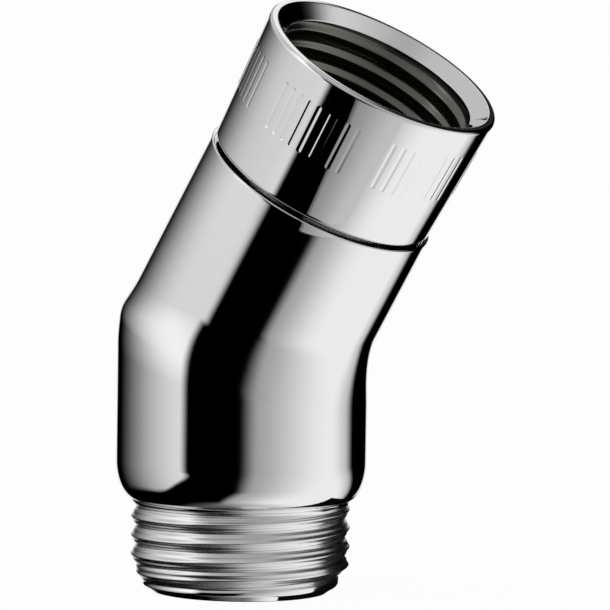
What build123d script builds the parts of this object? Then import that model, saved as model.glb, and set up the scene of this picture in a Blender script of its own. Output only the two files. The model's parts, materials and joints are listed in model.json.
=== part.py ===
from build123d import *
import os
from math import atan, cos, radians, sin, tan

# Angled hand shower connector, in millimetres
# The origin is the centre of the inlet's end face, +Z runs up the inlet axis, and the outlet leans towards +X

# Half inch pipe thread, as a plain crest cylinder outside and a plain core bore inside
thread_radius = 20.955 / 2
thread_core_radius = 18.631 / 2

# Bent body
bend_angle = 30.0
bend_height = 24.5
inlet_wall_radius = 12.0
outlet_wall_radius = 11.4
bend_radius = 13.0
bend_sections = 5
thread_length = 8.8
thread_lip_radius = 8.5
thread_lip_height = 0.6
thread_end_radius = 9.3
thread_end_height = 2.7
shoulder_round_width = 1.9
shoulder_round_height = 3.8
shoulder_round_steps = 6
inlet_bore_radius = 7.0
outlet_bore_radius = 6.5
collar_distance = 17.15
collar_chamfer = 0.3

# Neck that the union nut turns on
neck_radius = 8.9
neck_end = 21.2
neck_end_chamfer = 0.3
neck_groove_radius = 8.4
neck_groove_start = 18.55
neck_groove_width = 1.1

# Union nut, with distances measured from the bend point along the outlet axis
nut_start = 17.5
nut_end = 30.7
nut_foot_radius = 11.2
nut_rim_radius = 11.8
nut_foot_chamfer = 0.45
nut_rim_chamfer = 0.35
nut_mouth_radius = 10.4
nut_mouth_depth = 3.35
nut_skirt_radius = neck_radius + 0.08
nut_skirt_end = 21.0
nut_recess_radius = 10.0
nut_recess_end = 23.4
nut_groove_radius = 9.55
nut_groove_start = 18.45
nut_groove_width = 1.2

# Grip grooves, in equal groups round the nut
grip_groups = 6
grip_grooves = 9
grip_pitch_angle = 5.2
grip_turn = -20.6
grip_length = 5.1
grip_width = 0.5
grip_depth = 0.1
grip_top_gap = 2.8

# Open snap ring that keeps the nut on the neck
ring_radius = 8.95
ring_width = 1.0
ring_thickness = 1.0
ring_open_angle = 18.0

# Flat sealing washer inside the nut
washer_radius = 9.5
washer_bore_radius = 6.0
washer_thickness = 2.0

# Directions and planes worked out from the bend
half_bend = radians(bend_angle / 2)
bend_point = Vector(0, 0, bend_height)
outlet_direction = Vector(sin(2 * half_bend), 0, cos(2 * half_bend))
outlet_across = Vector(cos(2 * half_bend), 0, -sin(2 * half_bend))
outlet_axis = Axis(bend_point, outlet_direction)
outlet_section = Plane(bend_point, x_dir=outlet_across, z_dir=(0, -1, 0))
mitre_across = (cos(half_bend), 0, -sin(half_bend))
mitre_normal = (sin(half_bend), 0, cos(half_bend))


def across_outlet(distance):
    """Plane square to the outlet axis at a distance from the bend point."""
    return Plane(bend_point + outlet_direction * distance, x_dir=outlet_across, z_dir=outlet_direction)


def along_bend(share):
    """Mitre plane and wall radius at a share of the way round the bend."""
    turn = 2 * half_bend * share
    start_height = bend_height - bend_radius * tan(half_bend)
    centre = (bend_radius * (1 - cos(turn)), 0, start_height + bend_radius * sin(turn))
    ease = share * share * (3 - 2 * share)
    radius = inlet_wall_radius + (outlet_wall_radius - inlet_wall_radius) * ease
    return Plane(centre, x_dir=mitre_across, z_dir=mitre_normal), radius


# Outlet wall from the end of the blend to the collar, with the collar's outer edge broken
with BuildPart() as outlet_wall:
    with BuildSketch(across_outlet(-outlet_wall_radius)):
        Circle(outlet_wall_radius)
    extrude(amount=outlet_wall_radius + collar_distance)
    chamfer(outlet_wall.edges().filter_by(GeomType.CIRCLE).sort_by(outlet_axis)[-1], collar_chamfer)
    split(bisect_by=along_bend(1)[0], keep=Keep.TOP)

with BuildPart() as angled_body:
    # Inlet wall with its rounded shoulder, turned about the inlet axis
    shoulder_foot_radius = inlet_wall_radius - shoulder_round_width
    shoulder_top = thread_length + shoulder_round_height
    shoulder_points = []
    for step in range(shoulder_round_steps + 1):
        turn = radians(90 * step / shoulder_round_steps)
        shoulder_radius = shoulder_foot_radius + shoulder_round_width * sin(turn)
        shoulder_points.append((shoulder_radius, shoulder_top - shoulder_round_height * cos(turn)))
    with BuildSketch(Plane.XZ):
        with BuildLine():
            Polyline(
                (0, thread_length),
                *shoulder_points,
                (inlet_wall_radius, 2 * bend_height),
                (0, 2 * bend_height),
                close=True,
            )
        make_face()
    revolve(axis=Axis.Z)
    split(bisect_by=along_bend(0)[0], keep=Keep.BOTTOM)

    # Inlet thread with its lead-in taper and broken lip
    with BuildSketch(Plane.XZ):
        with BuildLine():
            Polyline(
                (0, 0),
                (thread_lip_radius, 0),
                (thread_end_radius, thread_lip_height),
                (thread_radius, thread_end_height),
                (thread_radius, shoulder_top),
                (0, shoulder_top),
                close=True,
            )
        make_face()
    revolve(axis=Axis.Z)

    # Blend round the bend, through ellipses that share the mitre's direction
    for step in range(bend_sections):
        mitre_plane, wall_radius = along_bend(step / (bend_sections - 1))
        with BuildSketch(mitre_plane):
            Ellipse(wall_radius / cos(half_bend), wall_radius)
    loft()

    add(outlet_wall.part)

    # Neck with the ring's groove
    with BuildSketch(across_outlet(0)):
        Circle(neck_radius)
    extrude(amount=neck_end)
    neck_edge = angled_body.edges().filter_by(GeomType.CIRCLE).sort_by(outlet_axis)[-1]
    chamfer(neck_edge, neck_end_chamfer)
    with BuildSketch(across_outlet(neck_groove_start)):
        Circle(neck_radius)
        Circle(neck_groove_radius, mode=Mode.SUBTRACT)
    extrude(amount=neck_groove_width, mode=Mode.SUBTRACT)

    # Waterway, drilled from both ends to a round meeting at the bend
    with BuildSketch(Plane.XY):
        Circle(inlet_bore_radius)
    extrude(amount=bend_height, mode=Mode.SUBTRACT)
    with BuildSketch(across_outlet(0)):
        Circle(outlet_bore_radius)
    extrude(amount=neck_end, mode=Mode.SUBTRACT)
    with Locations(bend_point):
        Sphere(inlet_bore_radius, mode=Mode.SUBTRACT)

# Bar that cuts one grip groove, lying along the nut's slope at +X
nut_slope = atan((nut_rim_radius - nut_foot_radius) / (nut_end - nut_start))
grip_middle = nut_end - grip_top_gap - grip_length / 2
grip_radius = nut_rim_radius - (nut_end - grip_middle) * tan(nut_slope)
with BuildPart() as grip_cutter:
    with BuildSketch(
        Plane(
            (grip_radius, 0, grip_middle),
            x_dir=(sin(nut_slope), 0, cos(nut_slope)),
            z_dir=(cos(nut_slope), 0, -sin(nut_slope)),
        )
    ):
        Rectangle(grip_length, grip_width)
    extrude(amount=grip_depth, both=True)

with BuildPart() as union_nut:
    # Tapered sleeve with its skirt, washer recess and thread bore, turned about the outlet axis
    with BuildSketch(outlet_section):
        with BuildLine():
            Polyline(
                (nut_skirt_radius, nut_start),
                (nut_foot_radius, nut_start),
                (nut_rim_radius, nut_end),
                (nut_mouth_radius, nut_end),
                (thread_core_radius, nut_end - nut_mouth_depth),
                (thread_core_radius, nut_recess_end),
                (nut_recess_radius, nut_recess_end),
                (nut_recess_radius, nut_skirt_end),
                (nut_skirt_radius, nut_skirt_end),
                close=True,
            )
        make_face()
    revolve(axis=outlet_axis)
    outer_face = union_nut.faces().filter_by(GeomType.CONE).sort_by(SortBy.AREA)[-1]
    outer_edges = outer_face.edges().filter_by(GeomType.CIRCLE).sort_by(outlet_axis)
    chamfer(outer_edges[0], nut_foot_chamfer)
    chamfer(outer_edges[-1], nut_rim_chamfer)

    # Groove for the snap ring
    with BuildSketch(across_outlet(nut_groove_start)):
        Circle(nut_groove_radius)
    extrude(amount=nut_groove_width, mode=Mode.SUBTRACT)

    # Grip grooves
    grip_span = grip_pitch_angle * (grip_grooves - 1)
    grip_start = grip_turn - grip_span / 2
    with Locations(across_outlet(0)):
        with PolarLocations(0, grip_groups):
            with PolarLocations(0, grip_grooves, grip_start, grip_span, endpoint=True):
                add(grip_cutter.part, mode=Mode.SUBTRACT)

with BuildPart() as retaining_ring:
    ring_middle = neck_groove_start + ring_thickness / 2
    with BuildSketch(outlet_section):
        with Locations((ring_radius, ring_middle)):
            Rectangle(ring_width, ring_thickness)
    revolve(axis=outlet_axis, revolution_arc=360 - ring_open_angle)

with BuildPart() as sealing_washer:
    with BuildSketch(across_outlet(neck_end)):
        Circle(washer_radius)
        Circle(washer_bore_radius, mode=Mode.SUBTRACT)
    extrude(amount=washer_thickness)

angled_body.part.label = "angled_body"
union_nut.part.label = "union_nut"
retaining_ring.part.label = "retaining_ring"
sealing_washer.part.label = "sealing_washer"

os.makedirs("parts", exist_ok=True)
export_step(angled_body.part, "parts/angled_body.step")
export_step(union_nut.part, "parts/union_nut.step")
export_step(retaining_ring.part, "parts/retaining_ring.step")
export_step(sealing_washer.part, "parts/sealing_washer.step")
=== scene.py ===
import json
from math import acos, atan2, ceil, cos, pi, radians, sin, tan

import bmesh
import bpy
from mathutils import Matrix, Vector


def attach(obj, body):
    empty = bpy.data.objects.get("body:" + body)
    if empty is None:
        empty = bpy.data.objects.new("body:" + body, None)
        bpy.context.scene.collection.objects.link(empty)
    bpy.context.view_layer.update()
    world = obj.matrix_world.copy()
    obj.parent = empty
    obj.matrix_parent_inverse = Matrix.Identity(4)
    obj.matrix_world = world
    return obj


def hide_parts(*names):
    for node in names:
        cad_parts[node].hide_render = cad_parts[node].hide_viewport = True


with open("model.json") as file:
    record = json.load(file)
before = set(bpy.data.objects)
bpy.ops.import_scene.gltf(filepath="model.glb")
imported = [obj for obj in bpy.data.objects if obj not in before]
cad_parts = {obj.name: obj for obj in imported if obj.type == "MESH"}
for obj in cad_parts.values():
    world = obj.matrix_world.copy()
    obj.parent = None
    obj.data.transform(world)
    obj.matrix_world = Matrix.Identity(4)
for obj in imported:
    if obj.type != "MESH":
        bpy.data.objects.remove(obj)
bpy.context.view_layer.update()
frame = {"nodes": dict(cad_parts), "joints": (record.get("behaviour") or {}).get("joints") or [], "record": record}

# Sizes in millimetres, in the frame of the connector
MM = 0.001
mounts = {mount["name"]: mount for mount in frame["record"]["mounts"]}
nut_joint = frame["joints"][0]
bend_point = Vector(nut_joint["pos_m"]) / MM
outlet_direction = Vector(nut_joint["axis"])
outlet_across = Vector((outlet_direction.z, 0, -outlet_direction.x))
bend_angle = acos(outlet_direction.z)
mitre_slope = tan(bend_angle / 2)

# Half inch pipe thread
thread_radius = mounts["inlet_thread"]["dims"]["r_mm"]
thread_core_radius = mounts["outlet_thread"]["dims"]["r_mm"]
thread_pitch = 1.814
thread_depth = 0.4
thread_ripple = 0.05
thread_run_in = 0.8
thread_rows_per_turn = 28
inlet_tool_lines = 3.0
nut_tool_lines = 2.0

# Bent body
inlet_wall_radius = 12.0
outlet_wall_radius = 11.4
bend_radius = 13.0
bend_outer_round = 3.0
thread_length = 8.8
thread_lip_radius = 8.5
thread_lip_height = 0.6
thread_end_radius = 9.3
thread_end_height = 2.7
thread_relief_height = 0.5
thread_taper_round = 0.6
inlet_lip_round = 0.4
inlet_thread_turn = 0.327
shoulder_round_width = 1.9
shoulder_round_height = 3.8
inlet_bore_radius = 7.0
outlet_bore_radius = 6.5
bore_lead = 1.5
collar_distance = 17.15
collar_round = 0.15
neck_radius = 8.9
neck_end = 21.2
neck_groove_radius = 8.4
neck_groove_start = 18.55
neck_groove_width = 1.1
neck_foot_round = 0.1
neck_end_round = 0.3
groove_edge_round = 0.05
body_columns = 216

# Union nut, with distances from the bend point along the outlet axis
nut_start = 17.5
nut_end = 30.7
nut_foot_radius = 11.2
nut_rim_radius = 11.8
nut_foot_round = 0.4
nut_rim_round = 0.4
nut_foot_flat = 10.4
nut_rim_flat = 11.2
nut_mouth_radius = 11.0
nut_mouth_depth = 3.35
nut_thread_top = 29.45
nut_throat_radius = 9.6
nut_mouth_round = 0.1
nut_throat_round = 0.3
nut_skirt_radius = 8.98
nut_skirt_end = 21.0
nut_skirt_round = 0.1
nut_skirt_foot_round = 0.15
nut_recess_radius = 10.0
nut_recess_end = 23.4
nut_groove_radius = 9.55
nut_groove_start = 18.45
nut_groove_width = 1.2
nut_thread_turn = 0.2

# Grip grooves, in equal groups round the nut
grip_groups = 6
grip_grooves = 9
grip_pitch_angle = 5.2
grip_turn = -20.6
grip_length = 5.1
grip_width = 0.5
grip_depth = 0.032
grip_top_gap = 2.8

# Sealing washer
washer_start = neck_end
washer_thickness = 2.0
washer_radius = 9.5
washer_bore_radius = 6.0

# Camera, as the photograph was taken, with its picture's size in pixels
picture_pixels = 610
focal_pixels = 6847
sensor_width = 36.0
camera_azimuth = radians(32.26)
camera_rise = radians(5.448)
camera_roll = radians(0.83)
camera_distance = 653.3
camera_target = Vector((4.976, 3.141, 27.50))
camera_level = Vector((cos(camera_azimuth), sin(camera_azimuth), 0))
camera_front = Vector((sin(camera_azimuth), -cos(camera_azimuth), 0))


# Node graphs written as sums
class Value:
    """A node's output that can stand in a sum; each operator adds one Math node."""

    def __init__(self, graph, socket):
        self.graph = graph
        self.socket = socket

    def output(self, name):
        return Value(self.graph, self.socket.node.outputs[name])

    def __add__(self, other):
        return self.graph.math("ADD", self, other)

    def __sub__(self, other):
        return self.graph.math("SUBTRACT", self, other)

    def __mul__(self, other):
        return self.graph.math("MULTIPLY", self, other)

    def __truediv__(self, other):
        return self.graph.math("DIVIDE", self, other)

    def __radd__(self, other):
        return self.graph.math("ADD", other, self)

    def __rsub__(self, other):
        return self.graph.math("SUBTRACT", other, self)

    def __rmul__(self, other):
        return self.graph.math("MULTIPLY", other, self)

    def __rtruediv__(self, other):
        return self.graph.math("DIVIDE", other, self)

    def __abs__(self):
        return self.graph.math("ABSOLUTE", self)


class Graph:
    """A node tree that is filled one node at a time."""

    def __init__(self, tree):
        self.tree = tree

    def node(self, kind, settings=None, inputs=None, output=0):
        node = self.tree.nodes.new(kind)
        for name, value in (settings or {}).items():
            setattr(node, name, value)
        for key, value in (inputs or {}).items():
            if isinstance(value, Value):
                self.tree.links.new(value.socket, node.inputs[key])
            else:
                node.inputs[key].default_value = value
        return Value(self, node.outputs[output]) if node.outputs else None

    def math(self, operation, *values):
        return self.node("ShaderNodeMath", {"operation": operation}, dict(enumerate(values)))

    def step(self, value, low, high):
        """Soft rise from 0 at low to 1 at high."""
        settings = {"interpolation_type": "SMOOTHSTEP"}
        return self.node("ShaderNodeMapRange", settings, {"Value": value, "From Min": low, "From Max": high})

    def over(self, value, start):
        """How far a value lies past a start, or 0 before it."""
        return self.math("MAXIMUM", value - start, 0.0)

    def mix(self, share, first, second):
        return share * second + (1 - share) * first

    def mix_colour(self, share, first, second):
        return self.node("ShaderNodeMix", {"data_type": "RGBA"}, {0: share, 6: first, 7: second}, 2)


# Outlines of turned pieces
def rounded(corners, arc_steps=10):
    """Outline through corners of radius, distance and rounding, with an arc at each rounding."""
    points = []
    for index, (radius, distance, rounding) in enumerate(corners):
        corner = Vector((radius, distance))
        if not rounding:
            points.append(corner)
            continue
        before = (Vector(corners[index - 1][:2]) - corner).normalized()
        after = (Vector(corners[(index + 1) % len(corners)][:2]) - corner).normalized()
        half = before.angle(after) / 2
        centre = corner + (before + after).normalized() * rounding / sin(half)
        start = corner + before * rounding / tan(half) - centre
        end = corner + after * rounding / tan(half) - centre
        turn = atan2(start.x * end.y - start.y * end.x, start.dot(end))
        for step in range(arc_steps + 1):
            points.append(centre + Matrix.Rotation(turn * step / arc_steps, 2) @ start)
    return points


def divided(points, longest, edge=0.15):
    """Outline with its long straight runs cut into steps, and a short step at each end of a run."""
    result = [points[0]]
    for start, end in zip(points, points[1:]):
        length = (end - start).length
        stops = []
        if length > 4 * edge:
            steps = ceil((length - 2 * edge) / longest)
            stops = [(edge + (length - 2 * edge) * step / steps) / length for step in range(steps + 1)]
        result += [start.lerp(end, stop) for stop in stops + [1.0]]
    return result


def evenly(start, end, steps):
    """Values from start to end, both included."""
    return [start + (end - start) * step / steps for step in range(steps + 1)]


class Skin:
    """Closed wall through loops of points, with marks that say what each loop is part of."""

    def __init__(self):
        self.loops = []
        self.marks = []

    def add(self, loop, **marks):
        self.loops.append(loop)
        self.marks.append(marks)

    def mesh(self, name):
        """Mesh with each loop joined to the next and the last to the first, where counts divide."""
        starts = [0]
        for loop in self.loops:
            starts.append(starts[-1] + len(loop))
        faces = []
        for index, lower in enumerate(self.loops):
            above = (index + 1) % len(self.loops)
            upper = self.loops[above]
            count = min(len(lower), len(upper))
            for side in range(count):
                low = loop_run(starts[index], len(lower), side, len(lower) // count)
                high = loop_run(starts[above], len(upper), side, len(upper) // count)
                faces.append(low + high[::-1])
        mesh = bpy.data.meshes.new(name)
        mesh.from_pydata([point * MM for loop in self.loops for point in loop], [], faces)
        for mark in sorted({mark for marks in self.marks for mark in marks}):
            values = []
            for loop, marks in zip(self.loops, self.marks):
                values += [marks.get(mark, 0.0)] * len(loop)
            mesh.attributes.new(mark, "FLOAT", "POINT").data.foreach_set("value", values)
        mesh.shade_smooth()
        return mesh


def loop_run(start, count, side, share):
    """Vertex numbers of one side of a loop, from its first point to its last."""
    return [start + (side * share + step) % count for step in range(share + 1)]


# Rules that shape a wall
def node_rule(name, sizes):
    """Geometry node tree with named sizes, its graph and its sizes as values."""
    tree = bpy.data.node_groups.new(name, "GeometryNodeTree")
    tree.interface.new_socket("Geometry", in_out="OUTPUT", socket_type="NodeSocketGeometry")
    tree.interface.new_socket("Geometry", in_out="INPUT", socket_type="NodeSocketGeometry")
    tree.interface.new_socket("Finish", in_out="INPUT", socket_type="NodeSocketMaterial")
    for size in sizes:
        tree.interface.new_socket(size, in_out="INPUT", socket_type="NodeSocketFloat")
    graph = Graph(tree)
    group = graph.node("NodeGroupInput", output="Geometry")
    return graph, group, {size: group.output(size) for size in sizes}


def finish_rule(graph, group, place, mark):
    """Ends a rule: the points take their new place, and the wall its finish."""
    moved = graph.node("GeometryNodeSetPosition", None, {"Geometry": group, "Position": place})
    clean = graph.node("GeometryNodeRemoveAttribute", None, {"Geometry": moved, "Name": mark})
    whole = graph.node("GeometryNodeRealizeInstances", None, {"Geometry": clean})
    finish = {"Geometry": whole, "Material": group.output("Finish")}
    dressed = graph.node("GeometryNodeSetMaterial", None, finish)
    graph.node("NodeGroupOutput", None, {"Geometry": dressed})
    return graph.tree


def polar_place(graph):
    """Each point's x, y, z, radius and angle about the Z axis."""
    x = graph.node("ShaderNodeSeparateXYZ", None, {0: graph.node("GeometryNodeInputPosition")})
    y = x.output("Y")
    z = x.output("Z")
    radius = graph.math("SQRT", x * x + y * y)
    return x, y, z, radius, graph.math("ARCTAN2", y, x)


def weight_of(graph, mark):
    return graph.node("GeometryNodeInputNamedAttribute", {"data_type": "FLOAT"}, {"Name": mark})


def thread_rule():
    """Presses a rounded thread into a wall; Side is -1 on an outer wall and 1 in a bore."""
    graph, group, size = node_rule("pipe_thread", ["Pitch", "Depth", "Ripple", "Lines", "Turn", "Side"])
    x, y, z, radius, angle = polar_place(graph)
    turns = z / size["Pitch"] - angle / (2 * pi) - size["Turn"]
    thread_wave = graph.math("COSINE", turns * (2 * pi))
    tool_wave = graph.math("COSINE", turns * size["Lines"] * (2 * pi))
    cut = size["Depth"] * (0.5 - 0.5 * thread_wave) + size["Ripple"] * (1 - tool_wave)
    scale = 1 + weight_of(graph, "thread") * size["Side"] * cut / radius
    place = graph.node("ShaderNodeCombineXYZ", None, {0: x * scale, 1: y * scale, 2: z})
    return finish_rule(graph, group, place, "thread")


def grip_rule():
    """Presses round-ended grip grooves into a wall, in equal groups about the Z axis."""
    sizes = ["Groups", "Grooves", "Pitch", "Turn", "Middle", "Length", "Width", "Depth"]
    graph, group, size = node_rule("grip_grooves", sizes)
    x, y, z, radius, angle = polar_place(graph)
    half_period = pi / size["Groups"]
    across = graph.math("WRAP", angle - size["Turn"], half_period, 0 - half_period)
    last = (size["Grooves"] - 1) / 2
    nearest = graph.math("ROUND", across / size["Pitch"])
    nearest = graph.math("MINIMUM", graph.math("MAXIMUM", nearest, 0 - last), last)
    aside = (across - nearest * size["Pitch"]) * radius
    beyond = graph.math("MAXIMUM", abs(z - size["Middle"]) - (size["Length"] - size["Width"]) / 2, 0.0)
    off = (aside * aside + beyond * beyond) / (size["Width"] * size["Width"] / 4)
    bowl = graph.math("MAXIMUM", 1 - off, 0.0)
    scale = 1 - weight_of(graph, "grip") * size["Depth"] * bowl * bowl / radius
    place = graph.node("ShaderNodeCombineXYZ", None, {0: x * scale, 1: y * scale, 2: z})
    return finish_rule(graph, group, place, "grip")


def shaped(name, mesh, finish, rules):
    """Object whose mesh has been through its rules, as a plain mesh at the origin."""
    rough = bpy.data.objects.new(name + "_rough", mesh)
    bpy.context.scene.collection.objects.link(rough)
    for rule, sizes in rules:
        modifier = rough.modifiers.new(rule.name, "NODES")
        modifier.node_group = rule
        values = {"Finish": finish, **sizes}
        for item in rule.interface.items_tree:
            if item.in_out == "INPUT" and item.name in values:
                modifier[item.identifier] = values[item.name]
    evaluated = rough.evaluated_get(bpy.context.evaluated_depsgraph_get())
    plain = bpy.data.meshes.new_from_object(evaluated)
    bpy.data.objects.remove(rough)
    return piece(name, plain, finish)


def piece(name, mesh, finish):
    """Object at the origin with one finish."""
    mesh.name = name
    mesh.materials.clear()
    mesh.materials.append(finish)
    made = bpy.data.objects.new(name, mesh)
    bpy.context.scene.collection.objects.link(made)
    return made


# Bent body
def inlet_loop(radius, height, slope=0.0):
    """Loop about the inlet axis, sloping down towards the outlet's side."""
    loop = []
    for column in range(body_columns):
        angle = 2 * pi * column / body_columns
        reach = radius * cos(angle)
        loop.append(Vector((reach, radius * sin(angle), height - slope * reach)))
    return loop


def outlet_loop(radius, distance, slope=0.0):
    """Loop about the outlet axis, sloping up towards the outlet's side."""
    loop = []
    for column in range(body_columns):
        angle = 2 * pi * column / body_columns
        reach = radius * cos(angle)
        along = outlet_direction * (distance + slope * reach)
        loop.append(bend_point + along + outlet_across * reach + Vector((0, radius * sin(angle), 0)))
    return loop


def eased(share):
    return share * share * (3 - 2 * share)


def bend_loop(radius, share):
    """Loop on the mitre's slope at a share of the way round the bend, which is tighter on its outer side."""
    half_span = bend_radius * mitre_slope
    along = (2 * share - 1) * half_span
    loop = []
    for column in range(body_columns):
        angle = 2 * pi * column / body_columns
        inner = (1 + cos(angle)) / 2
        rounding = bend_outer_round + (bend_radius - bend_outer_round) * inner * inner
        half_arc = rounding * mitre_slope
        turn = bend_angle * min(max((along + half_arc) / (2 * half_arc), 0), 1)
        before = min(along + half_arc, 0) - half_arc
        after = max(along - half_arc, 0)
        shift = rounding * (1 - cos(turn)) + after * sin(bend_angle)
        height = bend_point.z + before + rounding * sin(turn) + after * cos(bend_angle)
        reach = radius * cos(angle)
        loop.append(Vector((shift + reach, radius * sin(angle), height - mitre_slope * reach)))
    return loop


def body_mesh():
    skin = Skin()
    inlet_end = rounded([
        (inlet_bore_radius, bore_lead, 0),
        (inlet_bore_radius, 0, inlet_lip_round),
        (thread_lip_radius, 0, inlet_lip_round),
        (thread_end_radius, thread_lip_height, thread_taper_round),
        (thread_radius, thread_end_height, thread_taper_round),
        (thread_radius, thread_length - thread_relief_height, 0),
    ])
    thread_step = thread_pitch / thread_rows_per_turn
    for radius, height in divided(inlet_end, thread_step, thread_step):
        run_in = min(max((height - thread_lip_height) / thread_run_in, 0), 1)
        share = run_in if radius > thread_lip_radius else 0.0
        skin.add(inlet_loop(radius, height), thread=share, matte=share)
    for share in evenly(0.25, 1, 3):
        height = thread_length - thread_relief_height * (1 - share)
        skin.add(inlet_loop(thread_radius, height), thread=1 - share, matte=1 - share)
    foot_radius = inlet_wall_radius - shoulder_round_width
    shoulder_top = thread_length + shoulder_round_height
    for share in evenly(0.12, 1, 28):
        angle = pi / 2 * share
        radius = foot_radius + shoulder_round_width * sin(angle)
        skin.add(inlet_loop(radius, shoulder_top - shoulder_round_height * cos(angle)))
    bend_start = bend_point.z - bend_radius * mitre_slope
    for share in evenly(1 / 16, 15 / 16, 14):
        height = shoulder_top + (bend_start - shoulder_top) * share
        skin.add(inlet_loop(inlet_wall_radius, height, mitre_slope * share))
    for share in evenly(0, 1, 60):
        radius = inlet_wall_radius + (outlet_wall_radius - inlet_wall_radius) * eased(share)
        skin.add(bend_loop(radius, share))
    bend_end = bend_radius * mitre_slope
    collar_edge = collar_distance - collar_round
    for share in evenly(1 / 16, 15 / 16, 14):
        distance = bend_end + (collar_edge - bend_end) * share
        skin.add(outlet_loop(outlet_wall_radius, distance, mitre_slope * (1 - share)))
    groove_end = neck_groove_start + neck_groove_width
    outlet_end = rounded([
        (outlet_wall_radius, collar_edge - collar_round, 0),
        (outlet_wall_radius, collar_distance, collar_round),
        (neck_radius, collar_distance, neck_foot_round),
        (neck_radius, neck_groove_start, groove_edge_round),
        (neck_groove_radius, neck_groove_start, groove_edge_round),
        (neck_groove_radius, groove_end, groove_edge_round),
        (neck_radius, groove_end, groove_edge_round),
        (neck_radius, neck_end, neck_end_round),
        (outlet_bore_radius, neck_end, neck_end_round),
        (outlet_bore_radius, neck_end - bore_lead, 0),
    ])
    for radius, distance in divided(outlet_end, 1.0):
        skin.add(outlet_loop(radius, distance))
    for share in evenly(1 / 8, 1, 7):
        distance = (neck_end - bore_lead) * (1 - share)
        skin.add(outlet_loop(outlet_bore_radius, distance, mitre_slope * share), bore=1.0)
    for share in evenly(1 / 8, 7 / 8, 6):
        height = bend_point.z + (bore_lead - bend_point.z) * share
        radius = outlet_bore_radius + (inlet_bore_radius - outlet_bore_radius) * eased(share)
        skin.add(inlet_loop(radius, height, mitre_slope * (1 - share)), bore=1.0)
    return skin.mesh("angled_body_wall")


# Union nut, made about the Z axis with the bend point at the origin
def nut_angles():
    """Column angles round the nut, close together in each groove and wide apart between groups."""
    offsets = [-0.5, -0.30, -0.24, -0.18, -0.12, -0.06, 0, 0.06, 0.12, 0.18, 0.24, 0.30]
    period = 360 / grip_groups
    span = grip_grooves * grip_pitch_angle
    gap_columns = 12
    angles = []
    for group in range(grip_groups):
        start = grip_turn + group * period - span / 2
        for groove in range(grip_grooves):
            angles += [start + (groove + 0.5 + offset) * grip_pitch_angle for offset in offsets]
        angles += evenly(start + span, start + period, gap_columns)[:-1]
    return [radians(angle) for angle in angles]


def turned_loop(radius, height, angles):
    return [Vector((radius * cos(angle), radius * sin(angle), height)) for angle in angles]


def nut_mesh():
    skin = Skin()
    fine = nut_angles()
    coarse = fine[::3]
    slope = (nut_rim_radius - nut_foot_radius) / (nut_end - nut_start)
    groove_top = nut_end - grip_top_gap
    groove_foot = groove_top - grip_length
    groove_edge = 0.3
    wall_margin = 0.1
    rim_margin = 0.05
    thread_margin = 0.3
    recess_margin = 0.2
    wall_rows = evenly(nut_start + nut_foot_round + wall_margin, groove_foot - groove_edge, 7)
    wall_rows += evenly(groove_foot - groove_edge, groove_foot + groove_edge, 12)[1:]
    wall_rows += evenly(groove_foot + groove_edge, groove_top - groove_edge, 6)[1:]
    wall_rows += evenly(groove_top - groove_edge, groove_top + groove_edge, 12)[1:]
    wall_rows += evenly(groove_top + groove_edge, nut_end - nut_rim_round - wall_margin, 5)[1:]
    foot_corner = (nut_foot_radius, nut_start)
    rim_corner = (nut_rim_radius, nut_end)
    foot = rounded([(nut_foot_flat, nut_start, 0), (*foot_corner, nut_foot_round), (*rim_corner, 0)])
    rim = rounded([(*foot_corner, 0), (*rim_corner, nut_rim_round), (nut_rim_flat, nut_end, 0)])
    for radius, height in foot[:-1]:
        skin.add(turned_loop(radius, height, fine))
    for height in wall_rows:
        skin.add(turned_loop(nut_foot_radius + slope * (height - nut_start), height, fine), grip=1.0)
    for radius, height in rim[1:]:
        skin.add(turned_loop(radius, height, fine))
    groove_end = nut_groove_start + nut_groove_width
    mouth = rounded([
        (nut_rim_flat - rim_margin, nut_end, 0),
        (nut_mouth_radius, nut_end, nut_mouth_round),
        (nut_throat_radius, nut_thread_top, nut_throat_round),
        (thread_core_radius, nut_end - nut_mouth_depth, 0),
        (thread_core_radius, nut_recess_end + thread_margin, 0),
    ])
    thread_step = thread_pitch / thread_rows_per_turn
    for radius, height in divided(mouth, thread_step, thread_step):
        inside = 1.0 if height < nut_thread_top else 0.0
        skin.add(turned_loop(radius, height, coarse), thread=inside, bore=inside)
    recess = rounded([
        (thread_core_radius, nut_recess_end + recess_margin, 0),
        (thread_core_radius, nut_recess_end, groove_edge_round),
        (nut_recess_radius, nut_recess_end, groove_edge_round),
        (nut_recess_radius, nut_skirt_end, groove_edge_round),
        (nut_skirt_radius, nut_skirt_end, nut_skirt_round),
        (nut_skirt_radius, groove_end, groove_edge_round),
        (nut_groove_radius, groove_end, groove_edge_round),
        (nut_groove_radius, nut_groove_start, groove_edge_round),
        (nut_skirt_radius, nut_groove_start, groove_edge_round),
        (nut_skirt_radius, nut_start, nut_skirt_foot_round),
        (nut_foot_flat - recess_margin, nut_start, 0),
    ], 4)
    for radius, height in divided(recess, 0.5):
        skin.add(turned_loop(radius, height, coarse), bore=1.0)
    return skin.mesh("union_nut_wall")


def washer_mesh():
    skin = Skin()
    washer_end = washer_start + washer_thickness
    edge_round = 0.15
    outline = rounded([
        (washer_bore_radius, washer_start, edge_round),
        (washer_radius, washer_start, edge_round),
        (washer_radius, washer_end, edge_round),
        (washer_bore_radius, washer_end, edge_round),
    ], 4)
    angles = evenly(0, 2 * pi, 180)[:-1]
    for radius, height in divided(outline, 0.5):
        skin.add(turned_loop(radius, height, angles))
    return skin.mesh("washer_wall")


def outlet_place():
    """Matrix that puts a piece made about the Z axis onto the outlet axis."""
    across = Vector((0, 1, 0))
    turned = Matrix((outlet_across, across, outlet_direction)).transposed().to_4x4()
    return Matrix.Translation(bend_point * MM) @ turned


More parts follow.
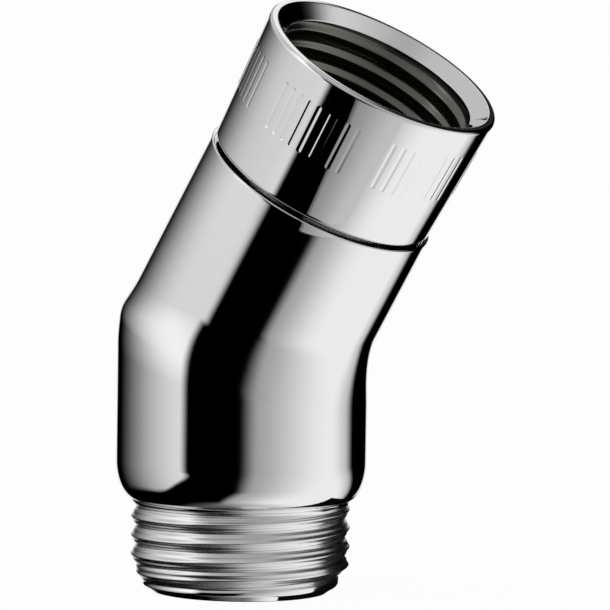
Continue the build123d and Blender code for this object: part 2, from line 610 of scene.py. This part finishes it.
# Finishes
def new_finish(name):
    material = bpy.data.materials.new(name)
    material.use_nodes = True
    material.node_tree.nodes.clear()
    graph = Graph(material.node_tree)
    return material, graph, graph.node("ShaderNodeTexCoord", output="Object")


def end_finish(graph, shader):
    graph.node("ShaderNodeOutputMaterial", None, {"Surface": shader})


def noise(graph, place, scale, detail):
    return graph.node("ShaderNodeTexNoise", None, {"Vector": place, "Scale": scale, "Detail": detail})


def chrome_finish():
    material, graph, place = new_finish("polished_chrome")
    haze = noise(graph, place, 260.0, 3.0)
    bore = graph.node("ShaderNodeAttribute", {"attribute_name": "bore"}, output="Fac")
    matte = graph.node("ShaderNodeAttribute", {"attribute_name": "matte"}, output="Fac")
    plate = graph.mix_colour(haze, (0.90, 0.905, 0.91, 1), (0.93, 0.93, 0.93, 1))
    # Painted shade: inside the bores the plate's colour is mixed down to a dark olive grey, so the hollows read
    # darker
    colour = graph.mix_colour(bore, plate, (0.19, 0.186, 0.165, 1))
    grain = noise(graph, place, 2400.0, 2.0)
    bump = graph.node("ShaderNodeBump", None, {"Strength": 0.02, "Distance": 0.00002, "Height": grain})
    shader = graph.node("ShaderNodeBsdfPrincipled", None, {
        "Base Color": colour,
        "Metallic": 1.0,
        "Roughness": 0.03 + 0.02 * haze + 0.15 * bore + 0.22 * matte,
        "Normal": bump,
    })
    end_finish(graph, shader)
    return material


def rubber_finish():
    material, graph, place = new_finish("moulded_rubber")
    bloom = noise(graph, place, 700.0, 4.0)
    grain = noise(graph, place, 5200.0, 3.0)
    bump = graph.node("ShaderNodeBump", None, {"Strength": 0.25, "Distance": 0.0001, "Height": grain})
    shader = graph.node("ShaderNodeBsdfPrincipled", None, {
        "Base Color": graph.mix_colour(bloom, (0.014, 0.014, 0.015, 1), (0.035, 0.035, 0.036, 1)),
        "Roughness": 0.55 + 0.2 * bloom,
        "Normal": bump,
    })
    end_finish(graph, shader)
    return material


def spring_finish():
    material, graph, place = new_finish("tempered_spring")
    temper = noise(graph, place, 1800.0, 3.0)
    shader = graph.node("ShaderNodeBsdfPrincipled", None, {
        "Base Color": graph.mix_colour(temper, (0.48, 0.48, 0.49, 1), (0.62, 0.62, 0.62, 1)),
        "Metallic": 1.0,
        "Roughness": 0.22 + 0.15 * temper,
    })
    end_finish(graph, shader)
    return material


# Stage, with the tent and the floor in metres and the card and the flag in millimetres
tent_radius = 3.0
tent_height = 0.0275
card_front = 24.0
card_lean = 0.36
card_foot = Vector((2.3, 30.5))
card_corners = [Vector((0, 0)), Vector((10.7, -5.0)), Vector((16.46, 16.0)), Vector((5.76, 16.0))]
flag_aside = 14.0
flag_corners = [Vector((-40, -40)), Vector((4.8, -40)), Vector((4.8, 5.6)), Vector((-40, 5.6))]
floor_size = 2.0
floor_drop = 0.00002


def left_panel(graph, azimuth, rise):
    """Light of the left panel, with its right edge leaning and its foot rounded."""
    fall = 0 - rise
    lift = graph.math("MINIMUM", graph.over(rise, -8), 28)
    lean = graph.over(fall, 8)
    edge = -55 + 0.35 * lift - 0.045 * lean * lean
    edge = edge + 4 * graph.step(fall, 6, 12) * (1 - graph.step(fall, 14, 26))
    light = 0.05 * graph.step(azimuth, -168, -140) * graph.step(rise, -2, 8)
    light = light + 0.77 * graph.step(azimuth + 0.7 * lift, -148, -48)
    light = light * graph.step(rise - 0.25 * graph.over(0 - azimuth, 95), -36, -28)
    return light * (0.96 + 0.014 * lift) * (1 - graph.step(azimuth - edge, -5, 5))


def right_panel(graph, azimuth, rise):
    """Light of the right panel, brightest away from the camera, with its far edge leaning."""
    fall = 0 - rise
    drop = graph.over(fall, 4)
    inward = azimuth + 0.17 * drop + 0.9 * graph.over(fall, 36)
    past = azimuth - (104 + drop + 0.6 * graph.over(fall, 28))
    light = 0.30 * graph.step(inward, -1, 17) + 0.60 * graph.step(inward, -5, 92)
    light = light * (1 - 0.42 * graph.step(past, -18, 10)) * (1 - graph.step(past, 3, 17))
    light = light * graph.step(azimuth, -60, -50) * (1 - graph.step(azimuth, 158, 178))
    top_shade = 0.25 * graph.step(rise, -4, 8) + 0.7 * graph.step(rise + 0.6 * azimuth, 78, 86)
    return light * (1 - top_shade)


def tent_finish():
    """Light tent, painted by heading: azimuth from the camera's side to its right, and rise, in degrees."""
    material, graph, place = new_finish("light_tent")
    heading = graph.node("ShaderNodeSeparateXYZ", None, {
        0: graph.node("ShaderNodeVectorMath", {"operation": "NORMALIZE"}, {0: place}),
    })
    azimuth = graph.math("ARCTAN2", heading, 0 - heading.output("Y")) * (180 / pi)
    rise = graph.math("ARCSINE", heading.output("Z")) * (180 / pi)
    light = left_panel(graph, azimuth, rise) + right_panel(graph, azimuth, rise)
    front_top = graph.step(rise, 10, 18) * graph.step(azimuth, -62, -48) * (1 - graph.step(azimuth, 5, 40))
    light = graph.mix(front_top, light, 0.4)

    # Table below, upper left and open top
    table = 0.34 + 0.25 * graph.math("SINE", azimuth * (pi / 180))
    light = graph.mix(graph.step(0 - rise, 58, 76), light, table)
    left_top = graph.step(rise, 22, 30) * (1 - graph.step(azimuth, -95, -65))
    light = graph.mix(left_top, light, 0.55)
    light = graph.mix(graph.step(rise, 48, 80), light, 0.55)

    # White board behind the connector, and the gap above it
    behind = abs(azimuth)
    board = graph.step(behind, 160, 166) * graph.step(rise, -25, -15) * (1 - graph.step(rise, 18, 22))
    light = graph.mix(board, light, 0.9)
    gap = graph.step(azimuth, 150, 155) * graph.step(rise, 18, 22)
    light = graph.mix(gap, light, 0.02)
    upper_board = graph.step(rise + 0.92 * azimuth, 178.6, 179.2) * graph.step(azimuth, 150, 155)
    light = graph.mix(upper_board, light, 0.9)
    end_finish(graph, graph.node("ShaderNodeEmission", None, {"Color": light, "Strength": 1.0}))
    return material


def card_finish():
    """Fill card in front of the nut, brighter towards the right."""
    material, graph, place = new_finish("fill_card")
    right = graph.node("ShaderNodeSeparateXYZ", None, {0: place})
    inside = right - card_lean * right.output("Z")
    light = 0.10 + 0.18 * graph.step(inside, 0.0, 0.0012) + 0.27 * graph.step(inside, 0.0, 0.010)
    end_finish(graph, graph.node("ShaderNodeEmission", None, {"Color": light, "Strength": 1.0}))
    return material


def flag_finish():
    """Black felt flag beside the thread."""
    material, graph, place = new_finish("black_flag")
    nap = noise(graph, place, 900.0, 2.0)
    felt = graph.mix_colour(nap, (0.008, 0.008, 0.008, 1), (0.016, 0.016, 0.016, 1))
    end_finish(graph, graph.node("ShaderNodeBsdfDiffuse", None, {"Color": felt}))
    return material


def floor_finish():
    """Pale floor that reads white to the camera and keeps a soft shadow."""
    material, graph, place = new_finish("pale_floor")
    path = graph.node("ShaderNodeLightPath", output="Is Camera Ray")
    seen = graph.math("MAXIMUM", path, path.output("Is Glossy Ray"))
    seen = graph.math("MAXIMUM", seen, path.output("Is Transmission Ray"))
    paper = graph.mix_colour(noise(graph, place, 40.0, 2.0), (0.86, 0.86, 0.86, 1), (0.88, 0.88, 0.88, 1))
    matte = graph.node("ShaderNodeBsdfDiffuse", None, {"Color": paper})
    white = graph.node("ShaderNodeEmission", None, {"Strength": 1.0})
    shader = graph.node("ShaderNodeMixShader", None, {0: seen * 0.97, 1: matte, 2: white})
    end_finish(graph, shader)
    return material


def white_world():
    world = bpy.data.worlds.new("white_studio")
    bpy.context.scene.world = world
    world.use_nodes = True
    background = world.node_tree.nodes["Background"]
    background.inputs["Color"].default_value = (1, 1, 1, 1)
    background.inputs["Strength"].default_value = 1.0


def stage_mesh(name, mesh, finish):
    made = piece(name, mesh, finish)
    return made


def keep_off_camera(made):
    """Turns a stage object to face the camera's side, and hides it from the camera and from shadows."""
    made.rotation_euler = (0, 0, camera_azimuth)
    made.visible_camera = False
    made.visible_shadow = False
    made.data.materials[0].cycles.emission_sampling = "NONE"


def bmesh_made(name, make, **sizes):
    """Mesh from one of bmesh's own shapes."""
    shape = bmesh.new()
    make(shape, **sizes)
    mesh = bpy.data.meshes.new(name)
    shape.to_mesh(mesh)
    shape.free()
    return mesh


def flat_mesh(name, points):
    mesh = bpy.data.meshes.new(name)
    mesh.from_pydata([point * MM for point in points], [], [range(len(points))])
    return mesh


def build_tent():
    sphere = bmesh.ops.create_uvsphere
    mesh = bmesh_made("light_tent", sphere, u_segments=96, v_segments=48, radius=tent_radius)
    mesh.shade_smooth()
    tent = stage_mesh("light_tent", mesh, tent_finish())
    tent.location = (camera_target.x * MM, camera_target.y * MM, tent_height)
    keep_off_camera(tent)


def build_card():
    mesh = flat_mesh("fill_card", [Vector((corner.x, 0, corner.y)) for corner in card_corners])
    card = stage_mesh("fill_card", mesh, card_finish())
    foot = Vector((0, 0, card_foot.y))
    card.location = (camera_level * card_foot.x + camera_front * card_front + foot) * MM
    keep_off_camera(card)


def build_flag():
    mesh = flat_mesh("black_flag", [Vector((0, -corner.x, corner.y)) for corner in flag_corners])
    flag = stage_mesh("black_flag", mesh, flag_finish())
    flag.location = camera_level * flag_aside * MM
    flag.visible_diffuse = False
    keep_off_camera(flag)


def build_floor():
    grid = bmesh.ops.create_grid
    mesh = bmesh_made("floor", grid, x_segments=1, y_segments=1, size=floor_size)
    floor = stage_mesh("floor", mesh, floor_finish())
    floor.location = (0, 0, -floor_drop)
    # The chrome mirrors the tent and not the floor, so Is Glossy Ray in the floor's finish has no effect
    floor.visible_glossy = False


def build_stage():
    build_tent()
    build_card()
    build_flag()
    build_floor()
    white_world()


def build_camera():
    rise = Vector((0, 0, sin(camera_rise)))
    back = camera_front * cos(camera_rise) + rise
    up = back.cross(camera_level)
    right = camera_level * cos(camera_roll) + up * sin(camera_roll)
    top = up * cos(camera_roll) - camera_level * sin(camera_roll)
    data = bpy.data.cameras.new("camera")
    data.sensor_width = sensor_width
    data.lens = focal_pixels / picture_pixels * sensor_width
    camera = bpy.data.objects.new("camera", data)
    bpy.context.scene.collection.objects.link(camera)
    turned = Matrix((right, top, back)).transposed().to_4x4()
    camera.matrix_world = Matrix.Translation((camera_target + back * camera_distance) * MM) @ turned
    bpy.context.scene.camera = camera


def build_connector():
    chrome = chrome_finish()
    rubber = rubber_finish()
    spring = spring_finish()
    thread = thread_rule()
    grip = grip_rule()
    pitch = {"Pitch": thread_pitch * MM, "Depth": thread_depth * MM, "Ripple": thread_ripple * MM}
    outside = {**pitch, "Lines": inlet_tool_lines, "Turn": inlet_thread_turn, "Side": -1.0}
    body = shaped("chrome_elbow", body_mesh(), chrome, [(thread, outside)])
    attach(body, "connector")
    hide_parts("angled_body")

    inside = {**pitch, "Lines": nut_tool_lines, "Turn": nut_thread_turn, "Side": 1.0}
    grooves = {
        "Groups": float(grip_groups),
        "Grooves": float(grip_grooves),
        "Pitch": radians(grip_pitch_angle),
        "Turn": radians(grip_turn),
        "Middle": (nut_end - grip_top_gap - grip_length / 2) * MM,
        "Length": grip_length * MM,
        "Width": grip_width * MM,
        "Depth": grip_depth * MM,
    }
    nut = shaped("chrome_union_nut", nut_mesh(), chrome, [(thread, inside), (grip, grooves)])
    nut.data.transform(outlet_place())
    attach(nut, "nut")
    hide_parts("union_nut")

    washer = piece("rubber_washer", washer_mesh(), rubber)
    washer.data.transform(outlet_place())
    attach(washer, "connector")
    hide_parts("sealing_washer")

    ring = frame["nodes"]["retaining_ring"]
    ring.material_slots[0].material = spring


build_connector()
build_stage()
build_camera()
bpy.context.scene.view_settings.view_transform = "Standard"
